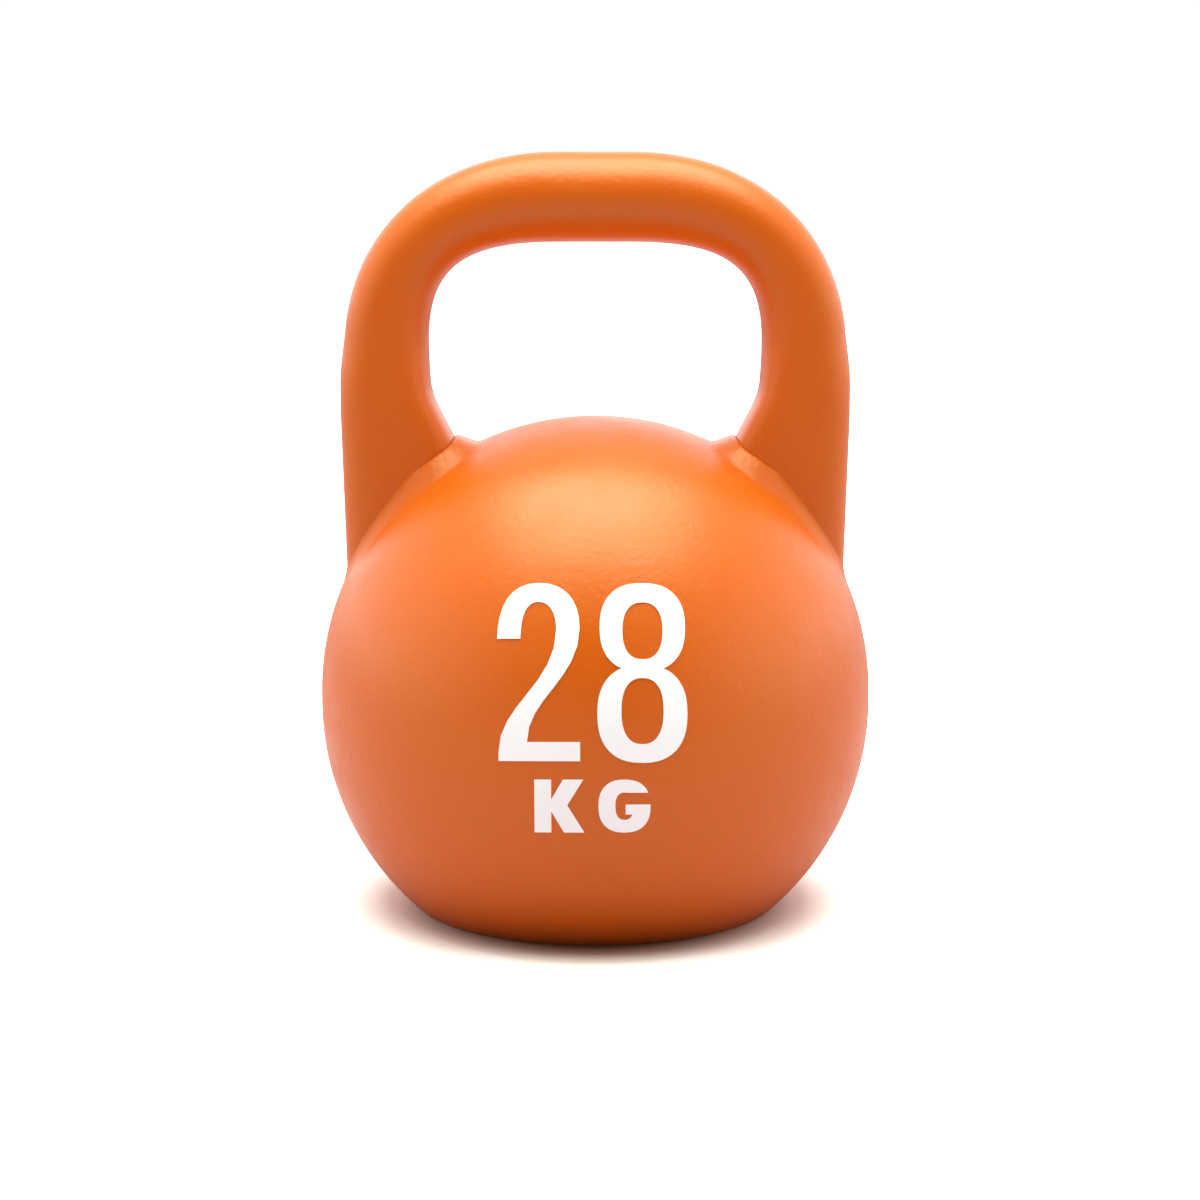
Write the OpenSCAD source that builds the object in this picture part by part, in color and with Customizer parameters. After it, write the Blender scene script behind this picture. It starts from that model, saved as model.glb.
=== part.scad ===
// Competition kettlebell, 28 kg class.
// A bent steel handle is welded to a ball made of two half shells. The ball holds
// ballast, poured in through a hole in the flat base that a threaded plug closes.
// Origin: centre of the flat base, on the floor. +Z is up and the numerals face -Y.

/* [Ball] */
// Outside diameter of the ball
ball_d = 210; // [206:0.5:214]
// Height of the straight band between the two halves, filled with weld and ground flush
band_h = 3.8; // [2:0.2:6]
// Height of the lower half shell's sphere centre above the floor
lower_z = 79; // [76:0.5:82]
// Wall thickness of the shells at the band
shell_t = 21.5; // [14:0.5:26]
// Thickness of the flat base
base_t = 16; // [14:0.5:20]
// Height of the ballast's level surface above the floor
fill_z = 156; // [120:1:158]

/* [Handle] */
// Height of the top of the grip above the floor
top_z = 287.6; // [284:0.2:290]
// Diameter of the grip bar
grip_d = 33.6; // [32:0.2:35]
// Length of the straight middle of the grip bar
grip_l = 28; // [20:1:32]
// Width across the outside of the legs
legs_w = 192.8; // [190:0.2:195]
// Width of the hand window at its widest
window_w = 126; // [122:0.5:128]
// Depth of the legs, front to back
leg_d = 34; // [32:0.5:36]

/* [Foot welds] */
// Leg length of the weld on the window side of each foot
bead_in = 6.4; // [4:0.2:7]
// Leg length of the weld on the outer side of each foot
bead_out = 2.6; // [2:0.2:4]

/* [Filler plug] */
// Thread diameter of the plug
plug_d = 33.2; // [30:0.2:36]
// Diameter of the plug's head
plug_head_d = 46; // [42:0.5:50]
// Thickness of the plug's head
plug_head_t = 5; // [4:0.5:6]
// Thickness of the seal washer under the head
seal_t = 1; // [0.8:0.1:2]
// Depth of the head below the base
plug_recess = 1.5; // [1:0.1:2.5]
// Width across the flats of the hexagon socket
socket_af = 17; // [12:1:19]

/* [Markings] */
// Thickness of the ink
ink_t = 0.3; // [0.2:0.05:0.6]
// Angle below level of the line along which the ink is laid
ink_tilt = 11.5; // [8:0.5:14]

/* [Hidden] */
$fn = 240;

ball_r = ball_d / 2;
upper_z = lower_z + band_h;
seam_z = lower_z + band_h / 2;
cavity_r = ball_r - shell_t;
groove_depth = band_h;
big = 2 * ball_d;
ball_c = [0, 0, upper_z];

coat = "#e8701c";
bare_steel = "#8d9096";

// The handle lies between two rails, drawn here for the right half as cubics of [x, z].
// Each span pairs one cubic of the outer rail with one of the inner rail.
out_x = legs_w / 2;
in_x = window_w / 2;
low_z = top_z - grip_d;
bend_end_out = [out_x - 2.1, top_z - 66];
bend_end_in = [in_x - 0.1, top_z - 71];
leg_end_out = [out_x, top_z - 87];
leg_end_in = [in_x - 0.6, top_z - 86];
flare_end_out = [out_x, top_z - 99];
flare_end_in = [in_x - 5.4, top_z - 100];
foot_end_out = [out_x - 2, top_z - 170];
foot_end_in = [in_x - 19, top_z - 126];
SPANS = [
    [12, [[grip_l / 2, top_z], [59, top_z], bend_end_out - [3.9, -39], bend_end_out],
        [[grip_l / 2, low_z], [48.6, low_z], bend_end_in + [0, 28.5], bend_end_in]],
    [3, [bend_end_out, bend_end_out + [0.7, -7], leg_end_out + [0, 7], leg_end_out],
        [bend_end_in, bend_end_in - [0, 5], leg_end_in + [0.3, 5], leg_end_in]],
    [3, [leg_end_out, leg_end_out - [0, 4], flare_end_out + [0, 4], flare_end_out],
        [leg_end_in, leg_end_in - [0.6, 5], flare_end_in + [2.6, 5], flare_end_in]]
];

// The section is an oval that goes from round in the grip to square-shouldered in the legs
// and feet. Each pair holds the power of the oval on the outer side and on the window side.
ring_n = 28;
grip_power = [2, 2];
leg_power = [2.6, 2.6];
foot_power = [3, 4.2];

bead_steps = 40;
// Outline of a weld bead: how far along the ball and how far up the leg, in leg lengths
BEAD = [
    [-0.4, -0.4], [1, -0.2], [1, 0.03], [0.8, 0.32], [0.57, 0.59], [0.3, 0.82], [0.03, 1], [-0.2, 1]
];

function cubic(p, t) =
    pow(1 - t, 3) * p[0] + 3 * pow(1 - t, 2) * t * p[1] + 3 * (1 - t) * t * t * p[2] + pow(t, 3) * p[3];
function curve(p, steps) = [for (k = [1:steps]) cubic(p, k / steps)];
function unit(v) = v / norm(v);
function oval_pow(v, n) = sign(v) * pow(abs(v), 2 / n);

// One point of the section whose outer and inner edges are the rail points o and i
function section_point(o, i, powers, angle) =
    let (
        n = cos(angle) < 0 ? powers[1] : powers[0],
        c = (o + i) / 2,
        h = (o - i) / 2 * oval_pow(cos(angle), n)
    )
    [c[0] + h[0], leg_d / 2 * oval_pow(sin(angle), n), c[1] + h[1]];
function section(o, i, powers) = [for (k = [0:ring_n - 1]) section_point(o, i, powers, 360 * k / ring_n)];

// Depth of the bar grows from the grip's diameter to the leg's depth along the bend
function scaled_y(ring, s) = [for (p = ring) [p[0], p[1] * s, p[2]]];

function bend_rings(span) = [
    for (k = [0:span[0]])
    let (t = k / span[0])
    scaled_y(
        section(cubic(span[1], t), cubic(span[2], t), grip_power + (leg_power - grip_power) * t),
        (grip_d + (leg_d - grip_d) * t) / leg_d
    )
];
function leg_rings(span, end_power) = [
    for (k = [1:span[0]])
    let (t = k / span[0])
    section(cubic(span[1], t), cubic(span[2], t), leg_power + (end_power - leg_power) * t)
];
foot_top = section(flare_end_out, flare_end_in, foot_power);
foot_low = section(foot_end_out, foot_end_in, foot_power);

// Closed tube through rings of points, with flat ends, or joined end to end as a loop
module tube(rings, loop = false) {
    n = len(rings[0]);
    last = len(rings) - (loop ? 1 : 2);
    sides = [
        for (r = [0:last], k = [0:n - 1])
        let (
            a = r * n + k,
            b = r * n + (k + 1) % n,
            c = (r + 1) % len(rings) * n + (k + 1) % n,
            d = (r + 1) % len(rings) * n + k
        )
        each [[a, b, c], [a, c, d]]
    ];
    ends = [[for (k = [n - 1:-1:0]) k], [for (k = [0:n - 1]) (len(rings) - 1) * n + k]];
    points = [for (r = rings) each r];
    polyhedron(points = points, faces = loop ? sides : concat(sides, ends), convexity = 8);
}

module mirrored() {
    children();
    mirror([1, 0, 0])
    children();
}

module ball_top() {
    translate(ball_c)
    sphere(r = ball_r);
}

module ball_low() {
    translate([0, 0, lower_z])
    sphere(r = ball_r);
}

// Everything above height z, or below it
module above(z) {
    translate([-big / 2, -big / 2, z])
    cube(big);
}

module below(z) {
    translate([-big / 2, -big / 2, z - big])
    cube(big);
}

module handle() {
    color(coat)
    difference() {
        union() {
            rotate([0, 90, 0])
            translate([grip_d / 2 - top_z, 0, -grip_l / 2])
            cylinder(d = grip_d, h = grip_l);
            mirrored()
            tube(concat(
                bend_rings(SPANS[0]),
                leg_rings(SPANS[1], leg_power),
                leg_rings(SPANS[2], foot_power),
                [foot_low]
            ));
        }
        ball_top();
    }
}

// Space of the V groove that the band weld fills, widened outwards by extra
module groove(extra = 0) {
    half_h = band_h / 2 * (groove_depth + extra) / groove_depth;
    outer_r = ball_r + extra;
    rotate_extrude()
    polygon([[ball_r - groove_depth, seam_z], [outer_r, seam_z + half_h], [outer_r, seam_z - half_h]]);
}

module cavity() {
    intersection() {
        translate([0, 0, seam_z])
        sphere(r = cavity_r);
        above(base_t);
    }
}

module upper_shell() {
    color(coat)
    difference() {
        intersection() {
            ball_top();
            above(seam_z);
        }
        cavity();
        groove(extra = 4);
    }
}

module lower_shell() {
    color(coat)
    difference() {
        intersection() {
            ball_low();
            below(seam_z);
            above(0);
        }
        cavity();
        groove(extra = 4);
        cylinder(d = plug_head_d + 1, h = 2 * (plug_recess + plug_head_t + seal_t), center = true);
        cylinder(d = plug_d, h = 3 * base_t, center = true);
    }
}

module band_weld() {
    color(coat)
    groove();
}

// Where the line up the foot at this angle meets the ball
function seam_point(angle) =
    let (
        a = section_point(flare_end_out, flare_end_in, foot_power, angle) - ball_c,
        d = section_point(foot_end_out, foot_end_in, foot_power, angle) - ball_c - a,
        half_b = a * d,
        t = (-half_b - sqrt(half_b * half_b - (d * d) * (a * a - ball_r * ball_r))) / (d * d)
    )
    ball_c + a + t * d;

function bead_ring(angle) =
    let (
        p = seam_point(angle),
        up = unit(section_point(flare_end_out, flare_end_in, foot_power, angle) - p),
        along = unit(seam_point(angle + 3) - seam_point(angle - 3)),
        out = unit(cross(along, unit(p - ball_c))),
        share = (out_x - p[0]) / (out_x - foot_end_in[0]),
        size = bead_out + (bead_in - bead_out) * min(1, share * 1.15)
    )
    [for (b = BEAD) p + size * (b[0] * out + b[1] * up)];

module right_foot_weld() {
    color(coat)
    difference() {
        tube([for (k = [0:bead_steps - 1]) bead_ring(360 * k / bead_steps)], loop = true);
        tube([foot_top, foot_low]);
        ball_top();
    }
}

module left_foot_weld() {
    mirror([1, 0, 0])
    right_foot_weld();
}

module ballast() {
    color("#6b645c")
    intersection() {
        cavity();
        below(fill_z);
    }
}

module filler_plug() {
    socket_r = socket_af / sqrt(3);
    socket_depth = 8;
    color(bare_steel)
    translate([0, 0, plug_recess])
    difference() {
        union() {
            cylinder(d = plug_head_d, h = plug_head_t);
            cylinder(d = plug_d, h = base_t - plug_recess);
        }
        translate([0, 0, -1])
        cylinder(r = socket_r, h = socket_depth + 1, $fn = 6);
    }
}

module plug_seal() {
    color("#1c1c1c")
    translate([0, 0, plug_recess + plug_head_t])
    difference() {
        cylinder(d = plug_head_d, h = seal_t);
        translate([0, 0, -1])
        cylinder(d = plug_d, h = seal_t + 2);
    }
}

// Lays a flat outline on the front of the ball as a skin of ink. The outline's y axis is
// up, and the ink is laid along a line that slopes down by ink_tilt.
module ink() {
    color("white")
    difference() {
        intersection() {
            rotate([90 - ink_tilt, 0, 0])
            linear_extrude(height = ball_r + 20)
            children();
            union() {
                intersection() {
                    translate(ball_c)
                    sphere(r = ball_r + ink_t);
                    above(upper_z);
                }
                translate([0, 0, lower_z])
                cylinder(r = ball_r + ink_t, h = band_h);
                intersection() {
                    translate([0, 0, lower_z])
                    sphere(r = ball_r + ink_t);
                    below(lower_z);
                }
            }
        }
        ball_top();
        ball_low();
        translate([0, 0, lower_z])
        cylinder(r = ball_r, h = band_h);
    }
}

// Upright oval with fuller shoulders than an ellipse
module oval(w, h, steps = 48) {
    shoulder = 2.4;
    polygon([
        for (k = [0:steps - 1])
        let (a = 360 * k / steps)
        [w / 2 * oval_pow(cos(a), shoulder), h / 2 * oval_pow(sin(a), shoulder)]
    ]);
}

// Numeral 2: a hooked top, a sweeping diagonal and a flat foot
two_hook_end = [-34.7, 98.3];
two_top = [-19.9, 118.2];
two_right = [-5.4, 102];
two_foot_in = [-24, 61.8];
two_foot_l = -34.2;
two_foot_r = -5.2;
two_base_y = 55;
two_in_right = [-13.7, 101.5];
two_in_top = [-20, 111.4];
two_hook_in = [-26.4, 98.3];
numeral_steps = 8;

module numeral_2() {
    outline = concat(
        [two_hook_end],
        curve([two_hook_end, [-34.5, 110.5], [-30, 118.2], two_top], numeral_steps),
        curve([two_top, [-11, 118.2], [-5.4, 112.3], two_right], numeral_steps),
        curve([two_right, [-5.4, 84], [-24, 77], two_foot_in], numeral_steps),
        [[two_foot_r, two_foot_in[1]], [two_foot_r, two_base_y], [two_foot_l, two_base_y]],
        [[two_foot_l, 58]],
        curve([[two_foot_l, 58], [two_foot_l, 75], [-13.7, 82], two_in_right], numeral_steps),
        curve([two_in_right, [-13.7, 107.5], [-16, 111.4], two_in_top], numeral_steps),
        curve([two_in_top, [-24.5, 111.4], [-26.2, 106.5], two_hook_in], numeral_steps)
    );
    ink()
    polygon(outline);
}

// Numeral 8: two stacked ovals, each with its counter
eight_x = 16.8;

module numeral_8() {
    ink()
    translate([eight_x, 0])
    difference() {
        union() {
            translate([0, 102.3])
            oval(30.3, 31.6);
            translate([0, 71.7])
            oval(31.9, 34.6);
        }
        translate([0, 101.1])
        oval(14.2, 20.2);
        translate([0, 72.7])
        oval(14.9, 23.3);
    }
}

// Unit letters K and G under the numerals
unit_h = 19;
unit_y = 29.5;
unit_stroke = 6;
k_x = -21.5;
g_x = 10.5;

module letter_k() {
    waist_y = 9.8;
    polygon([
        [0, 0], [0, unit_h], [unit_stroke, unit_h], [unit_stroke, 11.9], [10.2, unit_h], [17.4, unit_h],
        [11.7, waist_y], [17.8, 0], [10.5, 0], [unit_stroke, 7.6], [unit_stroke, 0]
    ]);
}

module letter_g() {
    g_w = 18.5;
    crossbar_top = 0.6;
    crossbar_h = 3.6;
    mouth_h = 4.2;
    difference() {
        oval(g_w, unit_h);
        oval(g_w - 2 * unit_stroke, unit_h - 9.2);
        translate([0, crossbar_top])
        square([g_w, mouth_h]);
    }
    intersection() {
        oval(g_w, unit_h);
        union() {
            translate([0.4, crossbar_top - crossbar_h])
            square([g_w, crossbar_h]);
            translate([g_w / 2 - unit_stroke, -unit_h / 2])
            square([unit_stroke, unit_h / 2 + crossbar_top]);
        }
    }
}

module unit_mark() {
    ink()
    union() {
        translate([k_x, unit_y])
        letter_k();
        translate([g_x, unit_y + unit_h / 2])
        letter_g();
    }
}

handle();
upper_shell();
lower_shell();
band_weld();
left_foot_weld();
right_foot_weld();
ballast();
filler_plug();
plug_seal();
numeral_2();
numeral_8();
unit_mark();
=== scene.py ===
"""Looks of the competition kettlebell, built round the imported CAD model.

Lengths are millimetres in the sizes and outlines below, and metres in the meshes, the
materials and the stage. All of it is in the CAD frame: Z up, the base at Z 0, the front
towards -Y.
"""

import math

import bmesh
import bpy
import numpy as np
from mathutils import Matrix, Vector, noise

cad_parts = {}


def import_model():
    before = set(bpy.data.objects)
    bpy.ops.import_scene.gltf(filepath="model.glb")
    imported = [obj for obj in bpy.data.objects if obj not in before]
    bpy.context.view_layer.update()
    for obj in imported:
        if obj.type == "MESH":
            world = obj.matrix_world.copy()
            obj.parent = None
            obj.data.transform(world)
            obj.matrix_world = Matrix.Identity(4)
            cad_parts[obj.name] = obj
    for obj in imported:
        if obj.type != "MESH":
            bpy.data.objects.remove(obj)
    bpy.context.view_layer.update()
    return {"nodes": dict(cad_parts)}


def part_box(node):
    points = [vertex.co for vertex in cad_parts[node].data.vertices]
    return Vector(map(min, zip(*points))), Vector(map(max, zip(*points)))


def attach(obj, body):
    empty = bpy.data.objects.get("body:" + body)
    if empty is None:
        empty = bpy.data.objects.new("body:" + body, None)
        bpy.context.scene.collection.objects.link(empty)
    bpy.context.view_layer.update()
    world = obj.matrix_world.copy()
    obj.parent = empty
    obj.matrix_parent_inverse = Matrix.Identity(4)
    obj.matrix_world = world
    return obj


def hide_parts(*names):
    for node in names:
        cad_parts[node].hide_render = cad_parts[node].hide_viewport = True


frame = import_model()
MM = 0.001


def node_box(node):
    """Lowest and highest corners of a CAD node, in millimetres."""
    low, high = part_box(node)
    return np.array(low) / MM, np.array(high) / MM


# ---------------------------------------------------------------- sizes
BAND_LOW, BAND_HIGH = node_box("band_weld")
HANDLE_LOW, HANDLE_HIGH = node_box("handle")
PLUG_LOW, PLUG_HIGH = node_box("filler_plug")
SEAL_LOW, SEAL_HIGH = node_box("plug_seal")

UPPER_Z = float(BAND_HIGH[2])
LOWER_Z = float(BAND_LOW[2])
SEAM_Z = (UPPER_Z + LOWER_Z) / 2
GROOVE_DEPTH = UPPER_Z - LOWER_Z
BALL_R = float(node_box("upper_shell")[1][2]) - UPPER_Z
BALL_C = np.array([0.0, 0.0, UPPER_Z])
BASE_T = float(node_box("ballast")[0][2])
SEAT_Z = float(SEAL_HIGH[2])
TOP_Z = float(HANDLE_HIGH[2])
OUT_X = float(HANDLE_HIGH[0])
LEG_D = float(HANDLE_HIGH[1] - HANDLE_LOW[1])

# No node's box gives these, so they repeat the CAD model's own
SHELL_T = 21.5
GRIP_D = 33.6
GRIP_L = 28.0
IN_X = 63.0
SEAL_WIDTH = 6.4
RECESS_GAP = 0.5
SOCKET_AF = 17.0
SOCKET_DEPTH = 8.0

CAVITY_R = BALL_R - SHELL_T
PLUG_R = float(SEAL_HIGH[0]) - SEAL_WIDTH
RECESS_R = float(PLUG_HIGH[0]) + RECESS_GAP


# ---------------------------------------------------------------- mesh helpers
def enclosed_volume(mesh):
    """Volume inside a closed mesh, negative where its faces look inwards."""
    work = bmesh.new()
    work.from_mesh(mesh)
    volume = work.calc_volume(signed=True)
    work.free()
    return volume


def build(name, verts_mm, faces, node, slot, material, sharp_deg=35.0):
    """Makes a smooth-shaded piece that stands for one CAD node."""
    mesh = bpy.data.meshes.new(name)
    mesh.from_pydata((np.asarray(verts_mm, float) * MM).tolist(), [], faces)
    mesh.validate()
    if enclosed_volume(mesh) < 0:
        mesh.flip_normals()
    mesh.shade_smooth()
    mesh.set_sharp_from_angle(angle=math.radians(sharp_deg))
    mesh.materials.append(material)
    piece = bpy.data.objects.new(name, mesh)
    bpy.context.scene.collection.objects.link(piece)
    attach(piece, "root")
    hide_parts(node)


def turn_angles(count):
    """Equal steps once round, from 0, in radians."""
    return [2 * math.pi * k / count for k in range(count)]


def unit(v):
    return v / np.linalg.norm(v)


def ease(t):
    """Smooth step from 0 to 1."""
    t = min(1.0, max(0.0, t))
    return t * t * (3 - 2 * t)


def cubic(p, t):
    """Point at t of the cubic Bezier curve with these four control points."""
    a, b, c, d = (np.array(v, float) for v in p)
    return (1 - t) ** 3 * a + 3 * (1 - t) ** 2 * t * b + 3 * (1 - t) * t * t * c + t**3 * d


def arc(centre_z, radius, start, end, steps):
    """Points (r, z) on a circle round (0, centre_z); angles are degrees above level."""
    angles = np.radians(np.linspace(start, end, steps + 1))
    return [(radius * math.cos(a), centre_z + radius * math.sin(a)) for a in angles]


def fillet(a, corner, b, radius, steps=6):
    """Points that round the corner of the path a, corner, b."""
    p, q, r = (np.array(v, float) for v in (a, corner, b))
    u, v = unit(p - q), unit(r - q)
    half = math.acos(float(np.clip(u @ v, -1, 1))) / 2
    reach = radius / math.tan(half)
    centre = q + unit(u + v) * radius / math.sin(half)
    start, end = q + u * reach - centre, q + v * reach - centre
    turn = math.pi - 2 * half
    points = []
    for k in range(steps + 1):
        t = k / steps
        mix = (math.sin((1 - t) * turn) * start + math.sin(t * turn) * end) / math.sin(turn)
        points.append(tuple(centre + mix))
    return points


def lathe(profile, segments):
    """Verts and faces of a closed (r, z) outline turned round Z. Points at r 0 become poles."""
    verts, rings = [], []
    for r, z in profile:
        if r < 1e-6:
            rings.append([len(verts)] * segments)
            verts.append((0.0, 0.0, z))
            continue
        rings.append(list(range(len(verts), len(verts) + segments)))
        verts += [(r * math.cos(a), r * math.sin(a), z) for a in turn_angles(segments)]
    faces = []
    for i, low in enumerate(rings):
        high = rings[(i + 1) % len(rings)]
        for k in range(segments):
            n = (k + 1) % segments
            corners = (low[k], low[n], high[n], high[k])
            loop = [c for j, c in enumerate(corners) if c != corners[j - 1]]
            if len(loop) > 2:
                faces.append(loop)
    return verts, faces


def skin(rings, loop=False):
    """Faces between rings of equal length. A loop also joins the last ring to the first."""
    n = len(rings[0])
    faces = []
    for i in range(len(rings) if loop else len(rings) - 1):
        j = (i + 1) % len(rings)
        for k in range(n):
            m = (k + 1) % n
            faces.append((i * n + k, i * n + m, j * n + m, j * n + k))
    return faces


# ---------------------------------------------------------------- node helpers
def node_tree(name):
    material = bpy.data.materials.new(name)
    material.use_nodes = True
    tree = material.node_tree
    return material, tree, tree.nodes["Principled BSDF"]


def link(tree, source, target):
    tree.links.new(source, target)


def dress(tree, shader, colour, roughness, normal):
    """Links what varies over the surface to the shader."""
    link(tree, colour, shader.inputs["Base Color"])
    link(tree, roughness, shader.inputs["Roughness"])
    link(tree, normal, shader.inputs["Normal"])


def object_coords(tree):
    return tree.nodes.new("ShaderNodeTexCoord").outputs["Object"]


def is_camera_ray(tree):
    return tree.nodes.new("ShaderNodeLightPath").outputs["Is Camera Ray"]


def noise_value(tree, coords, scale, detail=2.0, roughness=0.5):
    tex = tree.nodes.new("ShaderNodeTexNoise")
    tex.inputs["Scale"].default_value = scale
    tex.inputs["Detail"].default_value = detail
    tex.inputs["Roughness"].default_value = roughness
    link(tree, coords, tex.inputs["Vector"])
    return tex.outputs["Fac"]


def calculate(tree, operation, a, b):
    """Math node of two values, each a number or a socket."""
    node = tree.nodes.new("ShaderNodeMath")
    node.operation = operation
    for socket, value in zip(node.inputs, (a, b)):
        if isinstance(value, (int, float)):
            socket.default_value = value
        else:
            link(tree, value, socket)
    return node.outputs[0]


def ramp(tree, value, low, high, from_low=0.0, from_high=1.0):
    """Goes from low to high while the value goes from from_low to from_high."""
    node = tree.nodes.new("ShaderNodeMapRange")
    node.inputs["From Min"].default_value = from_low
    node.inputs["From Max"].default_value = from_high
    node.inputs["To Min"].default_value = low
    node.inputs["To Max"].default_value = high
    link(tree, value, node.inputs["Value"])
    return node.outputs["Result"]


def mix_colour(tree, factor, a, b):
    """Colour a where the factor is 0, b where it is 1, each a tuple or a socket."""
    node = tree.nodes.new("ShaderNodeMix")
    node.data_type = "RGBA"
    link(tree, factor, node.inputs["Factor"])
    for name, value in (("A", a), ("B", b)):
        socket = next(s for s in node.inputs if s.name == name and s.type == "RGBA")
        if isinstance(value, tuple):
            socket.default_value = (*value, 1.0)
        else:
            link(tree, value, socket)
    return next(s for s in node.outputs if s.type == "RGBA")


def bump(tree, height, distance, under=None):
    node = tree.nodes.new("ShaderNodeBump")
    node.inputs["Distance"].default_value = distance
    node.inputs["Strength"].default_value = 1.0
    link(tree, height, node.inputs["Height"])
    if under is not None:
        link(tree, under, node.inputs["Normal"])
    return node.outputs["Normal"]


def speck_mask(tree, coords, scale, share, radius):
    """1 inside small round specks: one in each chosen share of the cells of a Voronoi pattern."""
    cells = tree.nodes.new("ShaderNodeTexVoronoi")
    cells.inputs["Scale"].default_value = scale
    link(tree, coords, cells.inputs["Vector"])
    inside = ramp(tree, cells.outputs["Distance"], 1.0, 0.0, radius * 0.55, radius)
    pick = tree.nodes.new("ShaderNodeSeparateColor")
    link(tree, cells.outputs["Color"], pick.inputs["Color"])
    chosen = calculate(tree, "LESS_THAN", pick.outputs["Red"], share)
    return calculate(tree, "MULTIPLY", inside, chosen)


# ---------------------------------------------------------------- materials
COAT_BASE = (0.605, 0.106, 0.0019)
COAT_SHADE = (0.575, 0.099, 0.0015)
COAT_DUST = (0.95, 0.55, 0.35)
COAT_SHEEN = (1.0, 0.94, 0.66, 1.0)


def powder_coat():
    """Satin powder coat: two close oranges, orange peel, fine grain, rare pinholes darkened with
    painted shade, and dust.
    """
    material, tree, shader = node_tree("orange_powder_coat")
    coords = object_coords(tree)
    patches = noise_value(tree, coords, scale=9.0, detail=3.0)
    pinholes = speck_mask(tree, coords, scale=55.0, share=0.035, radius=0.045)
    dust = speck_mask(tree, coords, scale=90.0, share=0.03, radius=0.05)
    pinhole_painted_shade = tuple(c * 0.35 for c in COAT_BASE)
    colour = mix_colour(tree, patches, COAT_BASE, COAT_SHADE)
    # Painted shade: the pinhole pits are dented by the bump below and also coloured darker
    colour = mix_colour(tree, pinholes, colour, pinhole_painted_shade)
    colour = mix_colour(tree, ramp(tree, dust, 0.0, 0.25), colour, COAT_DUST)
    cloud = noise_value(tree, coords, scale=40.0, detail=4.0, roughness=0.6)
    roughness = ramp(tree, cloud, 0.32, 0.44, 0.3, 0.7)
    peel = noise_value(tree, coords, scale=420.0, detail=1.0)
    grain = noise_value(tree, coords, scale=2600.0, detail=2.0, roughness=0.6)
    normal = bump(tree, peel, distance=0.00011)
    normal = bump(tree, grain, distance=0.00005, under=normal)
    normal = bump(tree, ramp(tree, pinholes, 0.0, -1.0), distance=0.0004, under=normal)
    dress(tree, shader, colour, roughness, normal)
    shader.inputs["Specular IOR Level"].default_value = 0.5
    shader.inputs["Specular Tint"].default_value = COAT_SHEEN
    return material


def white_ink():
    """Printed white with a faint unevenness. A trace of blue offsets the orange round it."""
    material, tree, shader = node_tree("white_ink")
    coords = object_coords(tree)
    tone = noise_value(tree, coords, scale=60.0, detail=3.0)
    colour = mix_colour(tree, tone, (0.94, 0.97, 0.99), (0.91, 0.94, 0.96))
    roughness = ramp(tree, noise_value(tree, coords, scale=300.0), 0.45, 0.6)
    normal = bump(tree, noise_value(tree, coords, scale=900.0), distance=0.00002)
    dress(tree, shader, colour, roughness, normal)
    return material


def turned_steel():
    """Bare steel with fine turning rings round Z."""
    material, tree, shader = node_tree("turned_steel")
    coords = object_coords(tree)
    rings = tree.nodes.new("ShaderNodeTexWave")
    rings.wave_type = "RINGS"
    rings.rings_direction = "Z"
    rings.inputs["Scale"].default_value = 400.0
    rings.inputs["Distortion"].default_value = 0.6
    link(tree, coords, rings.inputs["Vector"])
    tone = noise_value(tree, coords, scale=120.0, detail=4.0)
    colour = mix_colour(tree, tone, (0.52, 0.53, 0.55), (0.36, 0.37, 0.39))
    normal = bump(tree, rings.outputs["Fac"], distance=0.00002)
    dress(tree, shader, colour, ramp(tree, tone, 0.25, 0.45), normal)
    shader.inputs["Metallic"].default_value = 1.0
    return material


def seal_rubber():
    """Matt black rubber."""
    material, tree, shader = node_tree("black_rubber")
    coords = object_coords(tree)
    tone = noise_value(tree, coords, scale=200.0, detail=3.0)
    colour = mix_colour(tree, tone, (0.012, 0.012, 0.013), (0.03, 0.03, 0.03))
    normal = bump(tree, noise_value(tree, coords, scale=1500.0), distance=0.00003)
    dress(tree, shader, colour, ramp(tree, tone, 0.6, 0.85), normal)
    return material


def ballast_fill():
    """Loose grey-brown grit."""
    material, tree, shader = node_tree("ballast_fill")
    grit = noise_value(tree, object_coords(tree), scale=500.0, detail=6.0, roughness=0.7)
    colour = mix_colour(tree, grit, (0.12, 0.11, 0.10), (0.32, 0.29, 0.26))
    normal = bump(tree, grit, distance=0.0006)
    dress(tree, shader, colour, ramp(tree, grit, 0.8, 0.95), normal)
    return material


COAT = powder_coat()


# ---------------------------------------------------------------- ball
BALL_SEGMENTS = 288
ARC_STEPS = 96
BAND_STEPS = 6
BASE_EDGE_R = 2.2
BASE_EDGE_DEG = 1.6
RECESS_EDGE_R = 0.6


def upper_shell_piece():
    profile = arc(UPPER_Z, BALL_R, 90, 0, ARC_STEPS)
    profile += [(BALL_R - GROOVE_DEPTH, SEAM_Z)]
    profile += arc(SEAM_Z, CAVITY_R, 0, 90, ARC_STEPS // 2)
    build("upper_shell_skin", *lathe(profile, BALL_SEGMENTS), "upper_shell", "coat", COAT)


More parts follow.
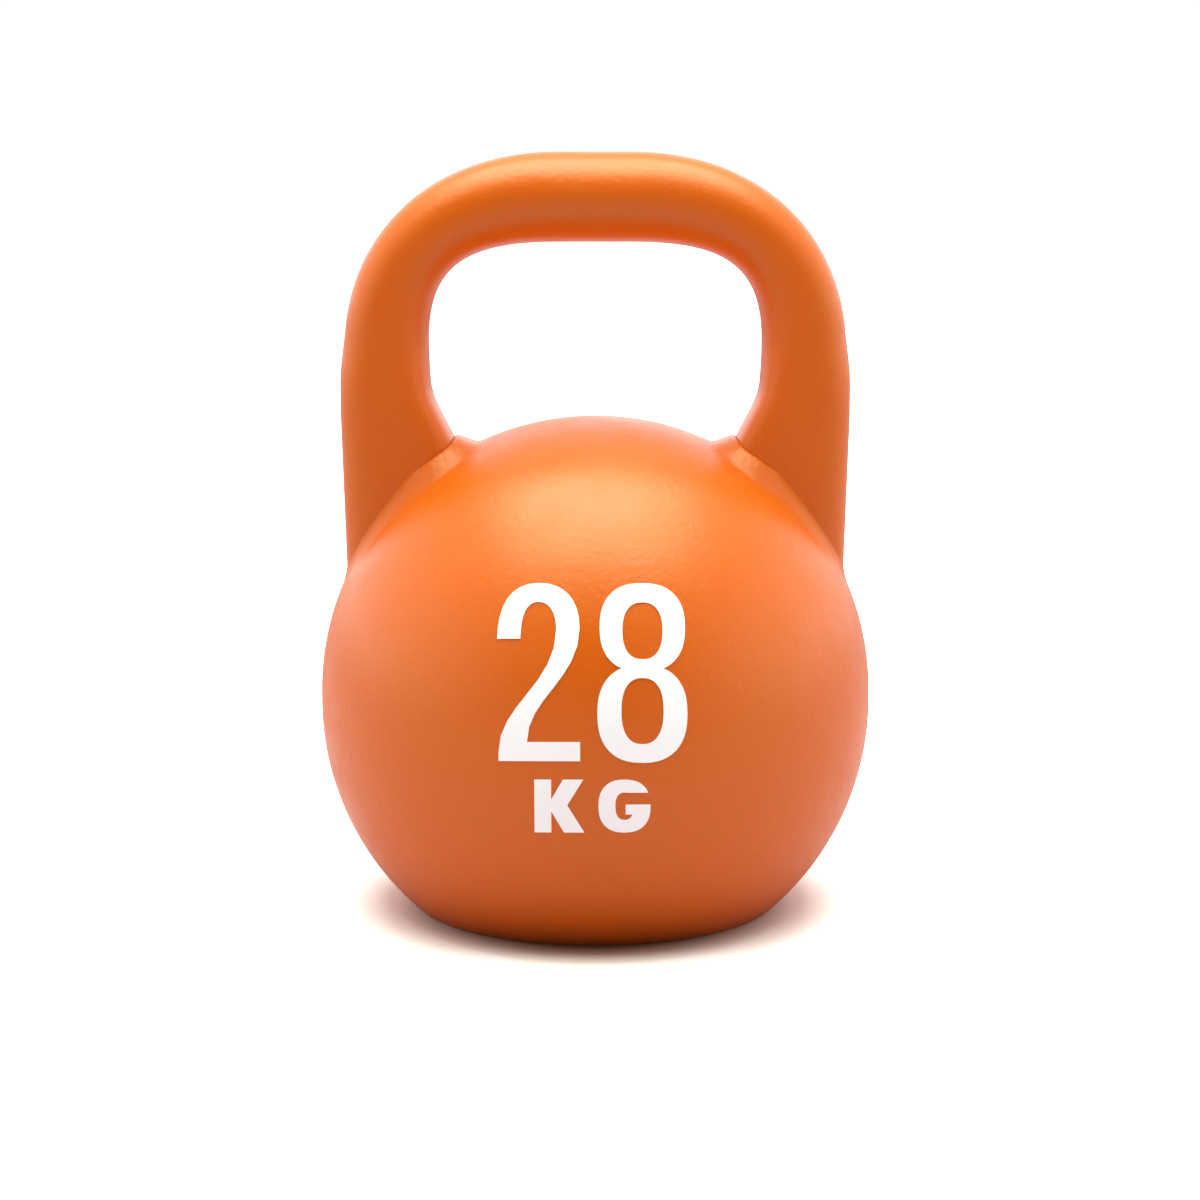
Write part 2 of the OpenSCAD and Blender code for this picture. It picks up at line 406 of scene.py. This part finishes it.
def lower_shell_piece():
    base_edge = (math.sqrt(BALL_R**2 - LOWER_Z**2), 0.0)
    recess_edge = (RECESS_R, 0.0)
    base_angle = -math.degrees(math.asin(LOWER_Z / BALL_R))
    cavity_angle = -math.degrees(math.asin((SEAM_Z - BASE_T) / CAVITY_R))
    side = arc(LOWER_Z, BALL_R, 0, base_angle + BASE_EDGE_DEG, ARC_STEPS)
    profile = [(BALL_R - GROOVE_DEPTH, SEAM_Z)] + side
    profile += fillet(side[-1], base_edge, recess_edge, BASE_EDGE_R)
    profile += fillet(base_edge, recess_edge, (RECESS_R, SEAT_Z), RECESS_EDGE_R, steps=3)
    profile += [(RECESS_R, SEAT_Z), (PLUG_R, SEAT_Z), (PLUG_R, BASE_T)]
    profile += arc(SEAM_Z, CAVITY_R, cavity_angle, 0, ARC_STEPS // 2)
    build("lower_shell_skin", *lathe(profile, BALL_SEGMENTS), "lower_shell", "coat", COAT)


def band_weld_piece():
    profile = [(BALL_R, z) for z in np.linspace(UPPER_Z, LOWER_Z, BAND_STEPS + 1)]
    profile += [(BALL_R - GROOVE_DEPTH, SEAM_Z)]
    build("band_weld_skin", *lathe(profile, BALL_SEGMENTS), "band_weld", "coat", COAT)


# ---------------------------------------------------------------- handle
# The same rails as the CAD, as (x, z): each span pairs a cubic of the outer rail with one
# of the inner rail
LOW_Z = TOP_Z - GRIP_D
BEND_OUT = np.array([OUT_X - 2.1, TOP_Z - 66])
BEND_IN = np.array([IN_X - 0.1, TOP_Z - 71])
LEG_OUT = np.array([OUT_X, TOP_Z - 87])
LEG_IN = np.array([IN_X - 0.6, TOP_Z - 86])
FLARE_OUT = np.array([OUT_X, TOP_Z - 99])
FLARE_IN = np.array([IN_X - 5.4, TOP_Z - 100])
FOOT_OUT = np.array([OUT_X - 2, TOP_Z - 170])
FOOT_IN = np.array([IN_X - 19, TOP_Z - 126])
BEND_SPAN = (
    ((GRIP_L / 2, TOP_Z), (59, TOP_Z), BEND_OUT + (-3.9, 39), BEND_OUT),
    ((GRIP_L / 2, LOW_Z), (48.6, LOW_Z), BEND_IN + (0, 28.5), BEND_IN),
)
LEG_SPAN = (
    (BEND_OUT, BEND_OUT + (0.7, -7), LEG_OUT + (0, 7), LEG_OUT),
    (BEND_IN, BEND_IN + (0, -5), LEG_IN + (0.3, 5), LEG_IN),
)
FLARE_SPAN = (
    (LEG_OUT, LEG_OUT + (0, -4), FLARE_OUT + (0, 4), FLARE_OUT),
    (LEG_IN, LEG_IN + (-0.36, -5), FLARE_IN + (2.6, 5), FLARE_IN),
)
# Powers of the section's oval, on the outer side and on the window side: 2 is round
GRIP_POWER = np.array([2.0, 2.0])
LEG_POWER = np.array([2.6, 2.6])
FOOT_POWER = np.array([3.0, 4.2])
RING_N = 112
GRIP_STEPS = 14
BEND_STEPS = 72
LEG_STEPS = 14
FLARE_STEPS = 12
FOOT_STEPS = 30
CAP_STEPS = 6
MIRROR = np.array([-1.0, 1.0, 1.0])


def oval_pow(v, power):
    return math.copysign(abs(v) ** (2 / power), v)


def section_point(out, inn, powers, angle, depth=LEG_D):
    """Point of the section between an outer and an inner rail point."""
    power = powers[1] if math.cos(angle) < 0 else powers[0]
    centre = (out + inn) / 2
    half = (out - inn) / 2 * oval_pow(math.cos(angle), power)
    y = depth / 2 * oval_pow(math.sin(angle), power)
    return np.array([centre[0] + half[0], y, centre[1] + half[1]])


def section(span, t, powers, depth=LEG_D):
    """Ring of the handle at t of a span."""
    out, inn = cubic(span[0], t), cubic(span[1], t)
    return np.array([section_point(out, inn, powers, a, depth) for a in turn_angles(RING_N)])


def seam_point(angle):
    """Where the line down the foot at this angle meets the ball."""
    a = section_point(FLARE_OUT, FLARE_IN, FOOT_POWER, angle) - BALL_C
    d = section_point(FOOT_OUT, FOOT_IN, FOOT_POWER, angle) - BALL_C - a
    half_b = a @ d
    t = (-half_b - math.sqrt(half_b**2 - (d @ d) * (a @ a - BALL_R**2))) / (d @ d)
    return BALL_C + a + t * d


def on_ball(p, radius=BALL_R):
    """The point moved along its radius onto the ball."""
    return BALL_C + unit(p - BALL_C) * radius


def half_rings():
    """Rings of the right half, from the end of the straight grip to the middle of the cope."""
    rings = []
    for k in range(BEND_STEPS + 1):
        t = k / BEND_STEPS
        power = GRIP_POWER + (LEG_POWER - GRIP_POWER) * t
        rings.append(section(BEND_SPAN, t, power, GRIP_D + (LEG_D - GRIP_D) * t))
    done = 0
    for span, steps in ((LEG_SPAN, LEG_STEPS), (FLARE_SPAN, FLARE_STEPS)):
        for k in range(1, steps + 1):
            done += 1 / (LEG_STEPS + FLARE_STEPS)
            power = LEG_POWER + (FOOT_POWER - LEG_POWER) * ease(done)
            rings.append(section(span, k / steps, power))
    top = rings[-1]
    seam = np.array([seam_point(a) for a in turn_angles(RING_N)])
    for k in range(1, FOOT_STEPS + 1):
        rings.append(top + (seam - top) * k / FOOT_STEPS)
    middle = seam.mean(axis=0)
    for k in range(1, CAP_STEPS):
        shrunk = seam + (middle - seam) * k / CAP_STEPS
        rings.append(np.array([on_ball(p) for p in shrunk]))
    return rings, on_ball(middle)


def handle_piece():
    right, right_end = half_rings()
    left = [ring * MIRROR for ring in right[::-1]]
    grip = []
    for k in range(1, GRIP_STEPS):
        ring = right[0].copy()
        ring[:, 0] = GRIP_L * (k / GRIP_STEPS - 0.5)
        grip.append(ring)
    rings = left + grip + right
    verts = np.concatenate(rings)
    faces = skin(rings)
    ends = ((0, right_end * MIRROR, -1), (len(verts) - RING_N, right_end, 1))
    for ring_start, end, turn in ends:
        tip = len(verts)
        verts = np.vstack([verts, end])
        for k in range(RING_N):
            pair = (ring_start + k, ring_start + (k + 1) % RING_N)
            faces.append((*pair[::turn], tip))
    build("handle_skin", verts, faces, "handle", "coat", COAT, sharp_deg=50)


# ---------------------------------------------------------------- foot welds
BEAD_STEPS = 420
# Leg length of the bead at the window and at the outer side of the foot, in between by the
# share of the way in
BEAD_IN = 6.4
BEAD_OUT = 2.8
SHARE_GAIN = 1.15
SIZE_GAIN = 1.4
# Share where the smooth fillet starts to turn into a bead, and over how much of it
BOLD_FROM = 0.52
BOLD_OVER = 0.3
# Unevenness as (amount, waves per mm): of the bead's size, and of its crown in mm
SIZE_WOBBLE = (0.07, 0.11)
RIPPLES = ((0.16, 0.55), (0.08, 1.6))
FILLET_RIPPLE = 0.3
RIPPLE_START = 0.1
# How far the bead's skin stays off the ball's surface, and how deep its root goes under it
BALL_GAP = 0.02
ROOT_DEPTH = 0.3
# Outline of the bead in leg lengths: along the ball, and up the leg. It starts in the
# undercut at the leg, rises over the crown and feathers out on the ball.
BEAD_CROWN = [
    (-0.03, 0.86), (0.03, 0.90), (0.07, 0.98), (0.13, 1.0), (0.22, 0.96), (0.34, 0.86),
    (0.46, 0.73), (0.58, 0.60), (0.70, 0.47), (0.82, 0.34), (0.94, 0.22), (1.06, 0.125),
    (1.18, 0.06), (1.32, 0.02), (1.48, 0.0),
]
# Where the bead was dressed smooth, it is a hollow fillet instead
FILLET_REACH = 1.5
BEAD_FILLET = [
    (FILLET_REACH * (1 - math.cos(a)) - 0.03, FILLET_REACH * (1 - math.sin(a)))
    for a in (math.pi / 2 * k / (len(BEAD_CROWN) - 1) for k in range(len(BEAD_CROWN)))
]
BEAD_ROOT = [(1.48, -0.08), (0.9, -0.1), (0.3, -0.12), (-0.08, -0.12), (-0.08, 0.4)]


def waves(p, amount, rate):
    return amount * noise.noise(Vector(p * rate))


def bead_ring(angle):
    """Closed outline of the right foot's bead where the foot's section has this angle."""
    p = seam_point(angle)
    up = unit(section_point(FLARE_OUT, FLARE_IN, FOOT_POWER, angle) - p)
    along = unit(seam_point(angle + 0.05) - seam_point(angle - 0.05))
    out = unit(np.cross(along, unit(p - BALL_C)))
    share = min(1.0, SHARE_GAIN * (OUT_X - p[0]) / (OUT_X - FOOT_IN[0]))
    size = BEAD_OUT + (BEAD_IN - BEAD_OUT) * min(1.0, SIZE_GAIN * share)
    size *= 1 + waves(p, *SIZE_WOBBLE)
    bold = ease((share - BOLD_FROM) / BOLD_OVER)
    ring = []
    for crown, hollow in zip(BEAD_CROWN, BEAD_FILLET):
        s, u = (bold * c + (1 - bold) * h for c, h in zip(crown, hollow))
        point = on_ball(p + size * s * out) + size * u * up
        lift = sum(waves(point, *ripple) for ripple in RIPPLES)
        lift *= FILLET_RIPPLE + (1 - FILLET_RIPPLE) * bold
        lift *= min(1.0, max(0.0, u)) * min(1.0, max(0.0, s / RIPPLE_START))
        point = point + lift * unit(out + up)
        if u < 0.02:
            point = on_ball(point, BALL_R - BALL_GAP)
        elif np.linalg.norm(point - BALL_C) < BALL_R:
            point = on_ball(point, BALL_R + BALL_GAP)
        ring.append(point)
    for s, u in BEAD_ROOT:
        if u < 0:
            ring.append(on_ball(p + size * s * out, BALL_R - ROOT_DEPTH))
        else:
            ring.append(p + size * (s * out + u * up))
    return np.array(ring)


def foot_weld_piece(side, name, node):
    rings = [bead_ring(a) * (side, 1.0, 1.0) for a in turn_angles(BEAD_STEPS)]
    faces = skin(rings, loop=True)
    build(name, np.concatenate(rings), faces, node, "coat", COAT, sharp_deg=60)


# ---------------------------------------------------------------- plug and seal
PLUG_SEGMENTS = 96
SEAL_SEGMENTS = 128
TIP_R = 0.001
SOCKET_BEVEL = (0.7, 1.2)
HEAD_BEVEL = ((1.0, 0.0), (0.3, 0.25), (0.0, 0.9))
SHANK_BEVEL = 1.0
SEAL_EDGE = 0.25


def plug_piece():
    """Headed plug with a bevelled rim and a hexagon socket, built ring by ring."""
    low, high = float(PLUG_LOW[2]), float(PLUG_HIGH[2])
    head_r, head_top = float(PLUG_HIGH[0]), float(SEAL_LOW[2])
    angles = turn_angles(PLUG_SEGMENTS)
    circle = np.array([(math.cos(a), math.sin(a)) for a in angles])
    to_flat = np.array([math.cos(a % (math.pi / 3) - math.pi / 6) for a in angles])
    hexagon = circle / to_flat[:, None] * SOCKET_AF / 2
    mouth = circle * (SOCKET_AF / 2 / math.cos(math.pi / 6) + SOCKET_BEVEL[0])
    outline = [
        (circle * TIP_R, low + SOCKET_DEPTH), (hexagon, low + SOCKET_DEPTH),
        (hexagon, low + SOCKET_BEVEL[1]), (mouth, low),
    ]
    outline += [(circle * (head_r - inward), low + up) for inward, up in HEAD_BEVEL]
    outline += [
        (circle * head_r, head_top), (circle * PLUG_R, head_top),
        (circle * PLUG_R, high - SHANK_BEVEL), (circle * (PLUG_R - SHANK_BEVEL), high),
        (circle * TIP_R, high),
    ]
    n = PLUG_SEGMENTS
    rings = [np.column_stack([xy, np.full(n, z)]) for xy, z in outline]
    faces = skin(rings)
    faces.append(tuple(range(n - 1, -1, -1)))
    faces.append(tuple(range((len(rings) - 1) * n, len(rings) * n)))
    verts = np.concatenate(rings)
    build("filler_plug_body", verts, faces, "filler_plug", "plug_steel", turned_steel(), 25)


def seal_piece():
    low, high = float(SEAL_LOW[2]), float(SEAL_HIGH[2])
    r_out = float(SEAL_HIGH[0])
    profile = [
        (PLUG_R, low), (r_out - SEAL_EDGE, low), (r_out, low + SEAL_EDGE),
        (r_out, high - SEAL_EDGE), (r_out - SEAL_EDGE, high), (PLUG_R, high),
    ]
    ring = lathe(profile, SEAL_SEGMENTS)
    build("plug_seal_ring", *ring, "plug_seal", "seal_rubber", seal_rubber())


def paint_cad_nodes(nodes, material):
    """New material for nodes that keep their CAD mesh."""
    for node in nodes:
        for slot in frame["nodes"][node].material_slots:
            slot.material = material


# ---------------------------------------------------------------- stage
FLOOR_HALF = 6.0
# Floor colours, with a reddish painted contact shadow at the ball's base and painted light further
# out: what it throws back on the ball, and what the camera sees
PAINTED_SHADOW_BOUNCE = (0.20, 0.15, 0.16)
FLOOR_BOUNCE = (0.62, 0.50, 0.54)
PAINTED_CONTACT_SHADOW = (0.30, 0.17, 0.10)
FLOOR_AT_BALL = (1.08, 1.06, 1.05)
FLOOR_OPEN_PAINTED_LIGHT = (2.2, 2.2, 2.2)
# Distances from the ball's axis over which they change, and how much faster sideways
CONTACT_ENDS = (0.072, 0.096)
SHADOW_ENDS = (0.10, 0.24)
SIDEWAYS = (1.24, 1.0, 1.0)
# World light: strength and focus behind the object and to its sides, and the white shown
BACK_LIGHT, BACK_FOCUS = 2.1, 2.0
SIDE_LIGHT, SIDE_FOCUS = 2.35, 3.0
SHOWN_WHITE = 1.05


def vector_math(tree, operation, vector):
    node = tree.nodes.new("ShaderNodeVectorMath")
    node.operation = operation
    link(tree, vector, node.inputs[0])
    return node


def floor_material():
    """Pale floor with a painted shadow: darker round the ball's base, and painted light away from
    the ball that lifts the floor to white so that only the shadow near the contact shows.
    """
    material, tree, shader = node_tree("floor_painted_shadow")
    shader.inputs["Roughness"].default_value = 0.9
    shader.inputs["Specular IOR Level"].default_value = 0.0
    scaled = vector_math(tree, "MULTIPLY", object_coords(tree))
    scaled.inputs[1].default_value = SIDEWAYS
    reach = vector_math(tree, "LENGTH", scaled.outputs["Vector"]).outputs["Value"]
    # Painted contact shadow: the floor's colour darkens towards the ball's base, both for the
    # camera and for the bounce
    out_of_painted_shadow = ramp(tree, reach, 0.0, 1.0, *CONTACT_ENDS)
    painted_light_share = ramp(tree, reach, 0.0, 1.0, *SHADOW_ENDS)
    bounce = mix_colour(tree, out_of_painted_shadow, PAINTED_SHADOW_BOUNCE, FLOOR_BOUNCE)
    shown = mix_colour(tree, out_of_painted_shadow, PAINTED_CONTACT_SHADOW, FLOOR_AT_BALL)
    # Painted light: further out the floor's colour rises above white, so the outer part of the real
    # shadow turns white
    shown = mix_colour(tree, painted_light_share, shown, FLOOR_OPEN_PAINTED_LIGHT)
    colour = mix_colour(tree, is_camera_ray(tree), bounce, shown)
    link(tree, colour, shader.inputs["Base Color"])
    return material


def stage():
    mesh = bpy.data.meshes.new("floor")
    corners = [(x * FLOOR_HALF, y * FLOOR_HALF, 0) for x, y in ((-1, -1), (1, -1), (1, 1), (-1, 1))]
    mesh.from_pydata(corners, [], [(0, 1, 2, 3)])
    mesh.materials.append(floor_material())
    floor = bpy.data.objects.new("floor", mesh)
    bpy.context.scene.collection.objects.link(floor)


def softbox(name, place, target, size, power, colour):
    light = bpy.data.lights.new(name, "AREA")
    light.shape = "RECTANGLE"
    light.size, light.size_y = size
    light.energy = power
    light.color = colour
    lamp = bpy.data.objects.new(name, light)
    lamp.location = place
    lamp.rotation_euler = (Vector(target) - Vector(place)).to_track_quat("-Z", "Y").to_euler()
    bpy.context.scene.collection.objects.link(lamp)


def world():
    """White light from behind the object and from both sides, none from the camera's side."""
    studio = bpy.data.worlds.new("studio")
    studio.use_nodes = True
    tree = studio.node_tree
    background = tree.nodes["Background"]
    background.inputs["Color"].default_value = (1.0, 1.0, 1.0, 1.0)
    axes = tree.nodes.new("ShaderNodeSeparateXYZ")
    coords = tree.nodes.new("ShaderNodeTexCoord")
    link(tree, coords.outputs["Generated"], axes.inputs["Vector"])
    behind = calculate(tree, "MAXIMUM", axes.outputs["Y"], 0.0)
    beside = calculate(tree, "ABSOLUTE", axes.outputs["X"], 0.0)
    behind = calculate(tree, "POWER", behind, BACK_FOCUS)
    beside = calculate(tree, "POWER", beside, SIDE_FOCUS)
    behind = calculate(tree, "MULTIPLY", behind, BACK_LIGHT)
    beside = calculate(tree, "MULTIPLY", beside, SIDE_LIGHT)
    shown = tree.nodes.new("ShaderNodeMix")
    link(tree, is_camera_ray(tree), shown.inputs["Factor"])
    link(tree, calculate(tree, "ADD", behind, beside), shown.inputs["A"])
    shown.inputs["B"].default_value = SHOWN_WHITE
    link(tree, shown.outputs["Result"], background.inputs["Strength"])
    bpy.context.scene.world = studio


def camera():
    """At the photograph's angle: 9.68 degrees down, from 1.2 m in front."""
    data = bpy.data.cameras.new("camera")
    data.lens = 95.26
    data.sensor_width = 36.0
    eye = bpy.data.objects.new("camera", data)
    eye.location = (0.0018, -1.2, 0.322)
    eye.rotation_euler = (math.radians(90 - 9.68), 0.0, 0.0)
    bpy.context.scene.collection.objects.link(eye)
    bpy.context.scene.camera = eye


# ---------------------------------------------------------------- build
camera()
stage()
world()
softbox(
    "overhead", place=(0.0, -0.10, 1.5), target=(0.0, -0.10, 0.1), size=(1.5, 1.25),
    power=46.0, colour=(1.0, 1.08, 0.96),
)
upper_shell_piece()
lower_shell_piece()
band_weld_piece()
handle_piece()
foot_weld_piece(1.0, "right_foot_bead", "right_foot_weld")
foot_weld_piece(-1.0, "left_foot_bead", "left_foot_weld")
plug_piece()
seal_piece()
paint_cad_nodes(["ballast"], ballast_fill())
paint_cad_nodes(["numeral_2", "numeral_8", "unit_mark"], white_ink())
bpy.context.scene.view_settings.view_transform = "Standard"
